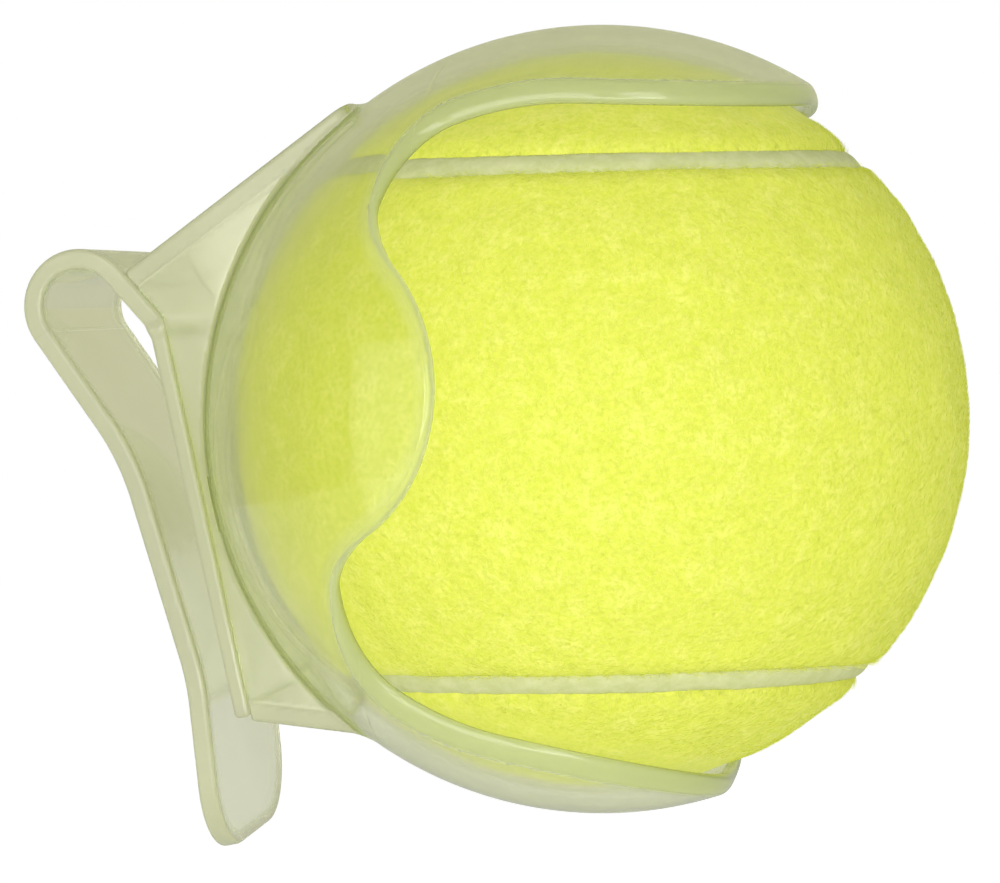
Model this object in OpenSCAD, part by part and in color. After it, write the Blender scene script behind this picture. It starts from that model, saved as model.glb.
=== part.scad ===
// Belt clip holder with one tennis ball.
// A clear moulded cup grips the ball with two snap arms and two side petals.
// A hollow bracket joins the cup to a flat belt plate, and a sprung tongue behind
// the plate holds the belt. The origin is on the rear face of the belt plate at the
// height of the ball's middle: +X points away from the wearer, +Z is up.

/* [Ball] */
// Diameter over the felt
ball_d = 66.6; // [65.4:0.1:68.6]
// Thickness of the felt cover
felt_t = 3.1; // [2.5:0.1:3.6]
// Wall of the rubber core
core_wall = 3.6; // [3:0.1:4.5]
// Thickness of the cement that joins the core halves
core_joint_t = 0.4; // [0.2:0.1:0.8]
// Width of the seam between the felt panels
seam_w = 1.9; // [1.5:0.1:3]
// Depth of the seam below the felt
seam_depth = 0.9; // [0.4:0.1:1.5]
// Turn of the ball about Z, as it sits in the cup
ball_turn = -80; // [-180:1:180]
// Lean of the ball's seams
ball_lean = -11; // [-45:1:45]
// Lean of the seam's arcs, which narrows the waist of each felt panel
seam_waist = 4.2; // [2:0.1:8]

/* [Cup] */
// Room between the ball and the cup
cup_clearance = 0.4; // [0.3:0.1:0.8]
// Wall of the cup
cup_wall = 1.7; // [1.4:0.1:2.2]
// Angle of the cup's mouth below the horizontal
cup_tilt = 18; // [10:1:24]
// Distance of the rim behind the ball's middle
rim_setback = 16.4; // [16:0.1:17]
// Distance of the side petals' tips behind the ball's middle
petal_setback = 8.5; // [6:0.1:11]
// Radius of the side petals
petal_r = 14; // [13:0.5:16]
// Height of the side petals above the cup's axis
petal_rise = 1.5; // [0:0.1:2]
// Radius in the notch beside a petal
notch_r = 3; // [2:0.5:4]

/* [Snap arms] */
// Width of the upper snap arm
upper_arm_w = 41.2; // [38:0.1:46]
// Width of the lower snap arm
lower_arm_w = 44.6; // [38:0.1:46]
// Reach of the upper snap arm in front of the ball's middle
upper_arm_reach = 16.5; // [14:0.1:18]
// Reach of the lower snap arm in front of the ball's middle
lower_arm_reach = 15.6; // [14:0.1:18]
// Radius of a snap arm's front corners
arm_corner_r = 18; // [12:0.5:18.5]
// Distance of the flexing line behind the ball's middle
arm_flex_setback = 11; // [10:0.1:12]
// Radius where an arm joins the rim
arm_root_r = 5; // [2:0.5:5]
// Gap at the flexing line
flex_gap = 0.4; // [0.3:0.05:0.5]

/* [Bracket] */
// Distance from the belt plate's rear face to the ball's middle
plate_to_ball = 36.4; // [36.2:0.1:37]
// Width of the bracket and the belt plate
bracket_w = 22; // [20:0.5:24]
// Thickness of the belt plate
plate_t = 1.5; // [1.2:0.1:1.8]
// Thickness of the bracket's walls
wall_t = 1.5; // [1.2:0.1:1.8]
// Depth of the plate's lower edge below the ball's middle
plate_drop = 19.2; // [18:0.1:21]
// Slope of the roof
roof_slope = 23.5; // [20:0.5:26]
// Length of the roof along its slope
roof_len = 25.6; // [23:0.1:26]
// Radius of the roof's front corners
roof_corner_r = 2; // [1:0.5:3]
// Slope of the floor
floor_slope = 17.5; // [12:0.5:22]

/* [Belt clip] */
// Thickness of the clip strip
strip_t = 1.8; // [1.4:0.1:2.2]
// Inside radius of the hoop
hoop_r = 3.4; // [3:0.1:4]
// Distance of the hoop's middle behind the belt plate
hoop_back = 6; // [5.5:0.1:6.5]
// Height of the hoop's middle above the ball's middle
hoop_up = 19.9; // [19:0.1:21]
// Lean of the front leg, from the plate up to the hoop
leg_lean = 30; // [27:1:33]
// Lean of the tongue where it leaves the hoop
tongue_lean = 23.5; // [20:0.5:26]
// Straight length from the hoop to the tongue's flexing line
tongue_flex_at = 1.6; // [1.3:0.1:2.5]
// Straight length below the flexing line
tongue_upper = 8; // [7:0.5:9]
// Straight length beside the plate
tongue_middle = 15; // [13:0.5:16]
// Straight length of the flared end
tongue_end = 14.4; // [14:0.1:15]
// Radius of the tongue's bends
tongue_bend_r = 24; // [20:1:28]
// Turn of the first bend
tongue_bend = 18.8; // [17:0.2:20]
// Turn of the flare at the throat
tongue_flare = 11; // [8:0.5:13]
// Depth of the tongue's tip below the ball's middle
tongue_drop = 31.2; // [30:0.1:31.2]
// Radius of the tongue's corners
tongue_corner_r = 6.5; // [3:0.5:8]

/* [Hidden] */
$fn = 96;
// Clearance between two faces of one moulding that are drawn as separate solids
face_gap = 0.02;
// Overlap of shapes that are cut or joined
over = 1;

ball_r = ball_d / 2;
core_r = ball_r - felt_t;
felt_in_r = core_r + face_gap;
seam_out_r = ball_r - seam_depth;
// Half angle of the leaning cones that the seam follows. They meet where X is 0, half
// way between Y and Z.
seam_cone = acos(cos(45) * cos(seam_waist));
seam_half = seam_w / 2 / ball_r * 180 / PI;
seam_side_gap = face_gap / ball_r * 180 / PI;
// Angle by which a panel's lobes are narrower than its band where the two meet
lobe_step = 0.2;
cup_in_r = ball_r + cup_clearance;
cup_out_r = cup_in_r + cup_wall;
reach_all = 3 * ball_r;
petal_x = -petal_setback - petal_r;
notch_x = -rim_setback + notch_r;
notch_z = sqrt(pow(petal_r + notch_r, 2) - pow(notch_x - petal_x, 2));
hoop_out_r = hoop_r + strip_t;
leg_side = [cos(leg_lean), sin(leg_lean)];
leg_down = [sin(leg_lean), -cos(leg_lean)];
hoop_middle = [-hoop_back, hoop_up];
leg_top_in = hoop_middle + hoop_r * leg_side;
leg_top_out = hoop_middle + hoop_out_r * leg_side;
plate_top = leg_top_in.y + leg_down.y * (0 - leg_top_in.x) / leg_down.x;
leg_front_z = leg_top_out.y + leg_down.y * (plate_t - leg_top_out.x) / leg_down.x;
// Distance below the hoop at which the roof starts on the front of the leg
roof_drop = 0.6;
roof_start = leg_top_out + roof_drop * leg_down;
tongue_runs = [
    [tongue_upper, tongue_bend],
    [tongue_middle, tongue_flare],
    [tongue_end, 0],
];
tongue_tip_z = -tongue_drop;
holder_colour = [0.80, 0.82, 0.70];
plate_colour = [0.76, 0.78, 0.64];
felt_colour = [0.86, 0.93, 0.25];
seam_colour = [0.80, 0.82, 0.62];
core_colour = [0.20, 0.20, 0.21];
cement_colour = [0.55, 0.50, 0.40];

// Places and frames
module at_ball() {
    translate([plate_to_ball, 0, 0]) children();
}

module in_cup_frame() {
    at_ball() rotate([0, cup_tilt, 0]) children();
}

module in_ball_frame() {
    at_ball() rotate([0, 0, ball_turn]) rotate([ball_lean, 0, 0]) children();
}

// An outline drawn in X and Z, given a width along Y
module across(width) {
    rotate([90, 0, 0]) linear_extrude(height = width, center = true) children();
}

// A ring from one angle to another, drawn flat
module arc_band(inner_r, thickness, from, to) {
    far = 2 * (inner_r + thickness);
    middle = (from + to) / 2;
    intersection() {
        difference() {
            circle(inner_r + thickness);
            circle(inner_r);
        }
        polygon([
            [0, 0],
            far * [cos(from), sin(from)],
            far * [cos(middle), sin(middle)],
            far * [cos(to), sin(to)],
        ]);
    }
}

// The cup's whole sphere, before its mouth is cut
module cup_sphere() {
    ball_layer(cup_out_r, cup_in_r);
}

// Fills the corner between the rim and one long edge of an arm
module arm_root_fillet() {
    difference() {
        translate([-over, -over]) square(arm_root_r + over);
        translate([arm_root_r, arm_root_r]) circle(arm_root_r);
    }
}

// The part of an arm that belongs to the bowl, seen along the cup's height
module arm_root_plan(width) {
    translate([-rim_setback - over, -width / 2])
        square([rim_setback + over - arm_flex_setback - flex_gap / 2, width]);
    for (side = [0, 1])
        mirror([0, side]) translate([-rim_setback, width / 2]) arm_root_fillet();
}

// A whole arm ahead of its flexing line, seen along the cup's height
module arm_plan(width, reach) {
    start = -arm_flex_setback + flex_gap / 2;
    end = reach - arm_corner_r;
    flat = width - 2 * arm_corner_r;
    translate([start, -width / 2]) square([end - start, width]);
    translate([start, -flat / 2]) square([reach - start, flat]);
    intersection() {
        for (side = [-1, 1])
            translate([end, side * flat / 2]) circle(arm_corner_r);
        translate([end - over, -width]) square([width, 2 * width]);
    }
}

// Fills the corner between the rim and a side petal. Its inner corner lies inside
// the petal's circle, at a share of the notch's height.
module notch_fillet() {
    share = petal_r / (petal_r + notch_r);
    inner_share = 0.85;
    difference() {
        polygon([
            [-rim_setback, notch_z],
            [notch_x, notch_z],
            [petal_x + share * (notch_x - petal_x), share * notch_z],
            [-rim_setback - over, inner_share * notch_z],
        ]);
        translate([notch_x, notch_z]) circle(notch_r);
    }
}

// Both side petals, seen across the cup
module petals_side() {
    translate([0, petal_rise]) {
        translate([petal_x, 0]) circle(petal_r);
        for (side = [0, 1])
            mirror([0, side]) notch_fillet();
    }
}

module cup_bowl() {
    color(holder_colour) in_cup_frame() intersection() {
        rotate([90, 0, 0]) cup_sphere();
        union() {
            translate([-rim_setback - reach_all, -reach_all, -reach_all])
                cube([reach_all, 2 * reach_all, 2 * reach_all]);
            across(reach_all) petals_side();
            linear_extrude(height = reach_all) arm_root_plan(upper_arm_w);
            mirror([0, 0, 1]) linear_extrude(height = reach_all) arm_root_plan(lower_arm_w);
        }
    }
}

module snap_arm(width, reach) {
    color(holder_colour) intersection() {
        cup_sphere();
        linear_extrude(height = reach_all) arm_plan(width, reach);
    }
}

module upper_arm() {
    in_cup_frame() snap_arm(upper_arm_w, upper_arm_reach);
}

module lower_arm() {
    in_cup_frame() mirror([0, 0, 1]) snap_arm(lower_arm_w, lower_arm_reach);
}

// What the cup takes out of every bracket wall that runs into it
module cup_space() {
    at_ball() sphere(cup_out_r + face_gap);
}

// The slab of the roof, from the leg of the clip to its free front edge
module roof_slab() {
    translate([roof_start.x, 0, roof_start.y]) rotate([0, -roof_slope, 0]) children();
}

module roof_plan() {
    translate([-over, -bracket_w / 2]) square([roof_len + over - roof_corner_r, bracket_w]);
    inner_w = bracket_w - 2 * roof_corner_r;
    translate([0, -inner_w / 2]) square([roof_len, inner_w]);
    for (side = [-1, 1])
        translate([roof_len - roof_corner_r, side * inner_w / 2]) circle(roof_corner_r);
}

// The space behind the bracket: the leg, the hoop and everything to the rear
module clip_space() {
    across(2 * bracket_w) polygon([
        leg_top_out - reach_all * leg_down + face_gap * leg_side,
        leg_top_out + face_gap * leg_side,
        [plate_t + face_gap, leg_front_z],
        [plate_t + face_gap, -reach_all],
        [-reach_all, -reach_all],
        [-reach_all, reach_all],
    ]);
}

module bracket_roof() {
    color(holder_colour) difference() {
        roof_slab() translate([0, 0, -wall_t]) linear_extrude(height = wall_t) roof_plan();
        clip_space();
        cup_space();
    }
}

module floor_slab() {
    translate([0, 0, -plate_drop]) rotate([0, floor_slope, 0]) children();
}

module bracket_floor() {
    color(holder_colour) difference() {
        floor_slab() translate([-over, -bracket_w / 2, 0])
            cube([plate_to_ball, bracket_w, wall_t]);
        clip_space();
        cup_space();
    }
}

// One side wall of the bracket, between its roof and its floor
module bracket_cheek(side) {
    color(holder_colour) difference() {
        translate([0, side * (bracket_w - wall_t) / 2, 0])
            across(wall_t) translate([-plate_to_ball, -plate_to_ball])
                square([2 * plate_to_ball - rim_setback, 2 * plate_to_ball]);
        roof_slab() translate([-reach_all, -reach_all, -wall_t - face_gap])
            cube(2 * reach_all);
        floor_slab() translate([-reach_all, -reach_all, wall_t + face_gap - 2 * reach_all])
            cube(2 * reach_all);
        clip_space();
        cup_space();
    }
}

module bracket_cheek_left() {
    bracket_cheek(1);
}

module bracket_cheek_right() {
    bracket_cheek(-1);
}

module back_plate() {
    color(plate_colour) difference() {
        translate([0, -bracket_w / 2, -plate_drop])
            cube([plate_t, bracket_w, plate_drop + plate_top - face_gap]);
        cup_space();
    }
}

// The frame at the hoop's rear end: X through the strip, Y along it
module along_tongue() {
    translate(hoop_middle) rotate(180 + tongue_lean) translate([hoop_r, 0]) children();
}

// A straight run of strip, with a point at each end that reaches into its neighbour
module strip_run(length) {
    point = strip_t / 4;
    polygon([
        [0, 0],
        [strip_t / 2, -point],
        [strip_t, 0],
        [strip_t, length],
        [strip_t / 2, length + point],
        [0, length],
    ]);
}

// The strip's straight runs, each followed by its bend away from the plate
module strip_runs(runs, first = 0) {
    run = runs[first];
    strip_run(run[0]);
    translate([tongue_bend_r, run[0]]) {
        if (run[1] > 0)
            arc_band(tongue_bend_r - strip_t, strip_t, 180 - run[1], 180);
        if (first + 1 < len(runs))
            rotate(-run[1]) translate([-tongue_bend_r, 0]) strip_runs(runs, first + 1);
    }
}

module clip_hoop() {
    color(plate_colour) across(bracket_w) difference() {
        union() {
            translate(hoop_middle) arc_band(hoop_r, strip_t, leg_lean, 180 + tongue_lean);
            along_tongue() strip_run(tongue_flex_at);
            polygon([
                [0, plate_top],
                [plate_t, plate_top],
                [plate_t, leg_front_z],
                leg_top_out,
                (leg_top_in + leg_top_out - strip_t / 2 * leg_down) / 2,
                leg_top_in,
            ]);
        }
        along_tongue() translate([strip_t / 2, tongue_flex_at])
            circle(strip_t / 2 + flex_gap);
    }
}

// The tongue's outline seen from behind, with its rounded lower corners
module tongue_front() {
    inner_w = bracket_w - 2 * tongue_corner_r;
    translate([-bracket_w / 2, tongue_tip_z + tongue_corner_r]) square([bracket_w, reach_all]);
    translate([-inner_w / 2, tongue_tip_z]) square([inner_w, tongue_corner_r + over]);
    for (side = [-1, 1])
        translate([side * inner_w / 2, tongue_tip_z + tongue_corner_r]) circle(tongue_corner_r);
}

module clip_tongue() {
    color(plate_colour) intersection() {
        across(bracket_w) along_tongue() translate([0, tongue_flex_at]) {
            strip_runs(tongue_runs);
            translate([strip_t / 2, 0]) circle(d = strip_t);
        }
        rotate([90, 0, 90]) linear_extrude(height = reach_all, center = true) tongue_front();
    }
}

// Two cones from the ball's middle, about +Z and -Z, that lean towards +X
module cone_pair(half_angle) {
    height = reach_all;
    for (side = [0, 1])
        mirror([0, 0, side]) rotate([0, seam_waist, 0])
            cylinder(h = height, r1 = 0, r2 = height * tan(half_angle));
}

module half_space(side) {
    translate([side < 0 ? -reach_all : 0, -reach_all, -reach_all])
        cube([reach_all, 2 * reach_all, 2 * reach_all]);
}

module ball_layer(outer_r, inner_r) {
    difference() {
        sphere(outer_r);
        sphere(inner_r);
    }
}

// One felt panel: a broad band on one side of the ball and a round lobe at each end
module felt_panel() {
    color(felt_colour) union() {
        difference() {
            intersection() {
                ball_layer(ball_r, felt_in_r);
                half_space(1);
            }
            cone_pair(seam_cone + seam_half);
        }
        intersection() {
            ball_layer(ball_r, felt_in_r);
            half_space(-1);
            rotate([90, 0, 180]) cone_pair(seam_cone - seam_half - lobe_step);
        }
    }
}

module felt_panel_front() {
    in_ball_frame() felt_panel();
}

module felt_panel_rear() {
    in_ball_frame() rotate([90, 0, 180]) felt_panel();
}

// Half of the seam: the strip between two cones on one side of the ball
module seam_half_loop() {
    intersection() {
        difference() {
            ball_layer(seam_out_r, felt_in_r);
            cone_pair(seam_cone - seam_half + seam_side_gap);
        }
        cone_pair(seam_cone + seam_half - seam_side_gap);
        half_space(1);
    }
}

module seam_cement() {
    color(seam_colour) in_ball_frame() {
        seam_half_loop();
        rotate([90, 0, 180]) seam_half_loop();
    }
}

module core_half(side) {
    color(core_colour) in_ball_frame() difference() {
        ball_layer(core_r, core_r - core_wall);
        translate([0, 0, -side * (reach_all - core_joint_t / 2)])
            cube(2 * reach_all, center = true);
    }
}

module ball_core_left() {
    core_half(1);
}

module ball_core_right() {
    core_half(-1);
}

module ball_core_joint() {
    color(cement_colour) in_ball_frame() intersection() {
        ball_layer(core_r, core_r - core_wall);
        cube([reach_all, reach_all, core_joint_t - 2 * face_gap], center = true);
    }
}

cup_bowl();
upper_arm();
lower_arm();
bracket_roof();
bracket_floor();
bracket_cheek_left();
bracket_cheek_right();
back_plate();
clip_hoop();
clip_tongue();
ball_core_left();
ball_core_right();
ball_core_joint();
felt_panel_front();
felt_panel_rear();
seam_cement();
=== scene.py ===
"""Looks of a clear plastic belt clip that grips a tennis ball.

The plastic mouldings are rounded implicit solids meshed on a grid, the ball is built from
its two felt panels and the seam between them, and a nap of fibres stands on the felt.
"""

import logging
import math
from dataclasses import dataclass, field
from enum import Enum
from typing import Callable, Iterable, Sequence

import bmesh
import bpy
import numpy as np
from mathutils import Matrix, Vector


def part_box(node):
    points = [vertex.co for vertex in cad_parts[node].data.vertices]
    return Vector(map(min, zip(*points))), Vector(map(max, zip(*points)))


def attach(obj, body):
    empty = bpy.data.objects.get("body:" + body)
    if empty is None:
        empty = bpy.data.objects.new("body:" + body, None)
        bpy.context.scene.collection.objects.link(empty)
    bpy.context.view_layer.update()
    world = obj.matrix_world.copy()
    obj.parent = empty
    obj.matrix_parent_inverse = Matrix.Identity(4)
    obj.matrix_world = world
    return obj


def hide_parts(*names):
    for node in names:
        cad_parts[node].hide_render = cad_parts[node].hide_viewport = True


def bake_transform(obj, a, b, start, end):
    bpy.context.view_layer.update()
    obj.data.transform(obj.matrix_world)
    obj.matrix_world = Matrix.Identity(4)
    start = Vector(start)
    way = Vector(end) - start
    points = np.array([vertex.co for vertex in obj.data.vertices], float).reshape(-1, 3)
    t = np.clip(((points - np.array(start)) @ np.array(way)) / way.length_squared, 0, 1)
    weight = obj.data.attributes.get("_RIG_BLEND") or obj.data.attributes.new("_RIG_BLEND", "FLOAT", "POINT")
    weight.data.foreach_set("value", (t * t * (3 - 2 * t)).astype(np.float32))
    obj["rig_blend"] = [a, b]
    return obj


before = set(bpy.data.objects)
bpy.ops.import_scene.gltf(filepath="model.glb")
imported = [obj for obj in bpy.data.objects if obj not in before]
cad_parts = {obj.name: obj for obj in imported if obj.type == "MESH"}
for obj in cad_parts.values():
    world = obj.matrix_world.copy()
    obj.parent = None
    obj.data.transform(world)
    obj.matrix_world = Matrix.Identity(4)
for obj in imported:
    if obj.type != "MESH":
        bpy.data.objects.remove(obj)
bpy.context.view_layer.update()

LOG = logging.getLogger("ball_clip")
MM = 0.001
CAP_NAME = "cap"
EDGE_NAME = "edge"
NAP_NAME = "nap"
TONE_NAME = "tone"
WHITE = (1.0, 1.0, 1.0)
CORE_NODES = ("ball_core_left", "ball_core_right", "ball_core_joint")

Colour = tuple[float, float, float]
Range = tuple[float, float]
Points = np.ndarray
Field = Callable[[Points], np.ndarray]


class Body(str, Enum):
    """The rigid bodies that pieces ride on."""

    HOLDER = "holder"
    UPPER_ARM = "upper_arm"
    LOWER_ARM = "lower_arm"
    TONGUE = "tongue"
    BALL = "ball"


class Slot(str, Enum):
    """Material slot names for the new pieces, which nothing in this script uses."""

    PLASTIC = "clear_plastic"
    FELT = "felt"
    SEAM = "seam_rubber"


# Shader expressions


class Shade:
    """A node socket that takes part in Python expressions."""

    def __init__(self, tree: "NodeTree", socket: bpy.types.NodeSocket) -> None:
        """Keeps the socket and the tree that it belongs to."""
        self.tree = tree
        self.socket = socket

    def __add__(self, other: "Shade | float") -> "Shade":
        """The sum of two values."""
        return self.tree.math("ADD", self, other)

    def __radd__(self, other: float) -> "Shade":
        """The sum of a number and a value."""
        return self.tree.math("ADD", other, self)

    def __sub__(self, other: "Shade | float") -> "Shade":
        """The difference of two values."""
        return self.tree.math("SUBTRACT", self, other)

    def __rsub__(self, other: float) -> "Shade":
        """A number less a value."""
        return self.tree.math("SUBTRACT", other, self)

    def __mul__(self, other: "Shade | float") -> "Shade":
        """The product of two values."""
        return self.tree.math("MULTIPLY", self, other)

    def __rmul__(self, other: float) -> "Shade":
        """The product of a number and a value."""
        return self.tree.math("MULTIPLY", other, self)

    def __or__(self, other: "Shade | float") -> "Shade":
        """The larger of two values."""
        return self.tree.math("MAXIMUM", self, other)


class NodeTree:
    """Builds a node tree from nodes, values and links."""

    def __init__(self, tree: bpy.types.NodeTree) -> None:
        """Keeps the tree."""
        self.tree = tree

    def node(
        self,
        kind: str,
        settings: dict[str, object] | None = None,
        sockets: dict[str | int, object] | None = None,
    ) -> bpy.types.Node:
        """Adds one node.

        Args:
            kind: The node's type.
            settings: Its own settings, which are set first.
            sockets: Values or links of its inputs, by name or place.

        Returns:
            The new node.
        """
        made = self.tree.nodes.new(kind)
        for name, value in (settings or {}).items():
            setattr(made, name, value)
        for name, value in (sockets or {}).items():
            if isinstance(value, Shade):
                self.tree.links.new(value.socket, made.inputs[name])
            else:
                made.inputs[name].default_value = value
        return made

    def shade(self, node: bpy.types.Node, output: str | int = 0) -> Shade:
        """One output of a node as a value."""
        return Shade(self, node.outputs[output])

    def math(self, operation: str, first: Shade | float, second: Shade | float) -> Shade:
        """One step of arithmetic on values."""
        made = self.node("ShaderNodeMath", {"operation": operation}, {0: first, 1: second})
        return self.shade(made)


class ShaderTree(NodeTree):
    """Builds the node tree of a material or of the world."""

    def __init__(self, owner: bpy.types.ID) -> None:
        """Empties the owner's tree.

        Args:
            owner: A material or a world.
        """
        owner.use_nodes = True
        super().__init__(owner.node_tree)
        self.tree.nodes.clear()

    def noise(self, where: Shade, scale: float, detail: float, roughness: float = 0.5) -> Shade:
        """A cloudy value from 0 to 1.

        Args:
            where: The coordinates.
            scale: Clouds per metre.
            detail: Octaves.
            roughness: Share that each octave keeps.

        Returns:
            The value.
        """
        sockets = {"Vector": where, "Scale": scale, "Detail": detail, "Roughness": roughness}
        return self.shade(self.node("ShaderNodeTexNoise", None, sockets), "Fac")

    def ramp(self, value: Shade, low: float, high: float) -> Shade:
        """A smooth step from 0 at low to 1 at high."""
        sockets = {"Value": value, "From Min": low, "From Max": high}
        made = self.node("ShaderNodeMapRange", {"interpolation_type": "SMOOTHSTEP"}, sockets)
        return self.shade(made)

    def mix(self, amount: Shade | float, first: Shade | Colour, second: Shade | Colour) -> Shade:
        """A colour between two colours."""
        made = self.node("ShaderNodeMix", {"data_type": "RGBA"}, {0: amount})
        for place, colour in ((6, first), (7, second)):
            if isinstance(colour, Shade):
                self.tree.links.new(colour.socket, made.inputs[place])
            else:
                made.inputs[place].default_value = (*colour, 1.0)
        return self.shade(made, 2)

    def bump(self, height: Shade, strength: float, distance: float) -> Shade:
        """A normal from a height.

        Args:
            height: The height, from 0 to 1.
            strength: Share of the bump that shows.
            distance: Height in metres.

        Returns:
            The normal.
        """
        sockets = {"Height": height, "Strength": strength, "Distance": distance}
        return self.shade(self.node("ShaderNodeBump", None, sockets))

    def coordinates(self) -> Shade:
        """The object's own coordinates, in metres."""
        return self.shade(self.node("ShaderNodeTexCoord"), "Object")

    def attribute(self, name: str) -> Shade:
        """A number stored on the mesh."""
        return self.shade(self.node("ShaderNodeAttribute", {"attribute_name": name}), "Fac")

    def principled(self, sockets: dict[str, object]) -> Shade:
        """A principled shader with these values and links."""
        return self.shade(self.node("ShaderNodeBsdfPrincipled", None, sockets))

    def between(self, amount: Shade, first: Shade, second: Shade) -> Shade:
        """A shader between two shaders."""
        return self.shade(self.node("ShaderNodeMixShader", None, {0: amount, 1: first, 2: second}))

    def surface(self, shader: Shade, kind: str = "ShaderNodeOutputMaterial") -> bpy.types.Node:
        """Shows a shader.

        Args:
            shader: The shader.
            kind: The output node's type.

        Returns:
            The output node.
        """
        return self.node(kind, None, {"Surface": shader})


# Finishes


def new_finish(name: str) -> tuple[bpy.types.Material, ShaderTree]:
    """A new material and its empty tree."""
    material = bpy.data.materials.new(name)
    return material, ShaderTree(material)


@dataclass(frozen=True)
class ClearPlastic:
    """Glossy moulded plastic, clear on its faces and milky along its edges and at a low angle; the rims'
    milk carries painted yellow-green light from the felt.
    """

    name: str
    tint: Colour
    cloud: Colour
    milk: Colour
    # Milk on the cup's rims, tinted yellow-green: painted light from the felt that the rims would pipe
    rim_milk_with_felt_light: Colour
    absorption: Colour
    density: float
    clearness: float = 1.0
    roughness: float = 0.05
    cloud_roughness: float = 0.04
    milk_clearness: float = 0.45
    milk_roughness: float = 0.45
    ior: float = 1.49
    coat: float = 0.15
    coat_roughness: float = 0.13
    milk_coat: float = 0.5
    milk_coat_roughness: float = 0.3
    edge_haze: float = 0.7
    # Edge values below this range take the rims' milk with its painted felt light
    rim_edges: Range = (0.5, 0.54)
    low_angle_haze: float = 0.3
    low_angles: Range = (0.6, 0.95)
    inner_haze: float = 0.75
    trapped_angles: Range = (0.24, 0.33)
    cloud_haze: float = 0.02
    cloud_levels: Range = (0.35, 0.7)
    cloud_scale: float = 90.0
    lamp_tint: Colour = (0.98, 0.985, 0.96)
    ripple_scale: float = 260.0
    ripple_share: float = 0.15
    ripple_height: float = 0.00004

    def make(self) -> bpy.types.Material:
        """Builds the material."""
        material, tree = new_finish(self.name)
        where = tree.coordinates()
        clouds = tree.ramp(tree.noise(where, self.cloud_scale, detail=3.0), *self.cloud_levels)
        ripples = tree.noise(where, self.ripple_scale, detail=2.0)
        edge = tree.attribute(EDGE_NAME)
        normal = tree.bump(ripples, self.ripple_share, self.ripple_height)
        clear = tree.principled(
            {
                "Base Color": tree.mix(clouds, self.tint, self.cloud),
                "Roughness": clouds * self.cloud_roughness + self.roughness,
                "IOR": self.ior,
                "Transmission Weight": self.clearness,
                "Coat Weight": self.coat,
                "Coat Roughness": self.coat_roughness,
                "Normal": normal,
            }
        )
        milky = tree.principled(
            {
                # Rims get the milk with painted felt light, other edges get the plain milk
                "Base Color": tree.mix(tree.ramp(edge, *self.rim_edges), self.rim_milk_with_felt_light, self.milk),
                "Roughness": self.milk_roughness,
                "IOR": self.ior,
                "Transmission Weight": self.milk_clearness,
                "Coat Weight": self.milk_coat,
                "Coat Roughness": self.milk_coat_roughness,
                "Normal": normal,
            }
        )
        angle = tree.shade(tree.node("ShaderNodeLayerWeight", None, {"Blend": 0.5}), "Facing")
        within = tree.shade(tree.node("ShaderNodeNewGeometry"), "Backfacing")
        trapped = within * tree.ramp(angle, *self.trapped_angles) * self.inner_haze
        low_angle = tree.ramp(angle, *self.low_angles) * self.low_angle_haze
        haze = (edge * self.edge_haze | low_angle + clouds * self.cloud_haze) | trapped
        light = tree.node("ShaderNodeLightPath")
        passes = tree.shade(light, "Is Shadow Ray") | tree.shade(light, "Is Diffuse Ray")
        through = tree.node("ShaderNodeBsdfTransparent", None, {"Color": (*self.lamp_tint, 1.0)})
        lit = tree.between(passes, tree.between(haze, clear, milky), tree.shade(through))
        gap = tree.shade(tree.node("ShaderNodeBsdfTransparent"))
        output = tree.surface(tree.between(tree.attribute(CAP_NAME), lit, gap))
        depth = {"Color": (*self.absorption, 1.0), "Density": self.density}
        inside = tree.node("ShaderNodeVolumeAbsorption", None, depth)
        tree.tree.links.new(inside.outputs[0], output.inputs["Volume"])
        return material


@dataclass(frozen=True)
class Felt:
    """Napped wool felt with lighter tufts, and painted shade that darkens the pits of its bump."""

    name: str
    body: Colour
    tuft: Colour
    # Darker colour for the bump's hollows: painted shade
    pit_shade: Colour
    sheen: Colour
    roughness: float = 0.95
    specular: float = 0.1
    sheen_weight: float = 0.25
    sheen_roughness: float = 0.5
    tuft_scale: float = 520.0
    tuft_levels: Range = (0.42, 0.68)
    tuft_share: float = 0.6
    fleck_scale: float = 2300.0
    fleck_share: float = 0.4
    # Fleck levels and strength of the painted shade in the hollows
    pit_shade_levels: Range = (0.6, 0.34)
    pit_shade_share: float = 0.6
    nap_share: float = 0.7
    nap_height: float = 0.0003

    def make(self) -> bpy.types.Material:
        """Builds the material."""
        material, tree = new_finish(self.name)
        where = tree.coordinates()
        tufts = tree.noise(where, self.tuft_scale, detail=4.0, roughness=0.6)
        flecks = tree.noise(where, self.fleck_scale, detail=3.0, roughness=0.65)
        toned = tree.mix(tree.ramp(tufts, *self.tuft_levels), self.body, self.tuft)
        # Painted shade: darker where the fine flecks, and so the bump, are low
        pit_shade_mask = tree.ramp(flecks, *self.pit_shade_levels) * self.pit_shade_share
        height = tufts * self.tuft_share + flecks * self.fleck_share
        shader = tree.principled(
            {
                "Base Color": tree.mix(pit_shade_mask, toned, self.pit_shade),
                "Roughness": self.roughness,
                "Specular IOR Level": self.specular,
                "Sheen Weight": self.sheen_weight,
                "Sheen Roughness": self.sheen_roughness,
                "Sheen Tint": (*self.sheen, 1.0),
                "Normal": tree.bump(height, self.nap_share, self.nap_height),
            }
        )
        tree.surface(shader)
        return material


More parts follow.
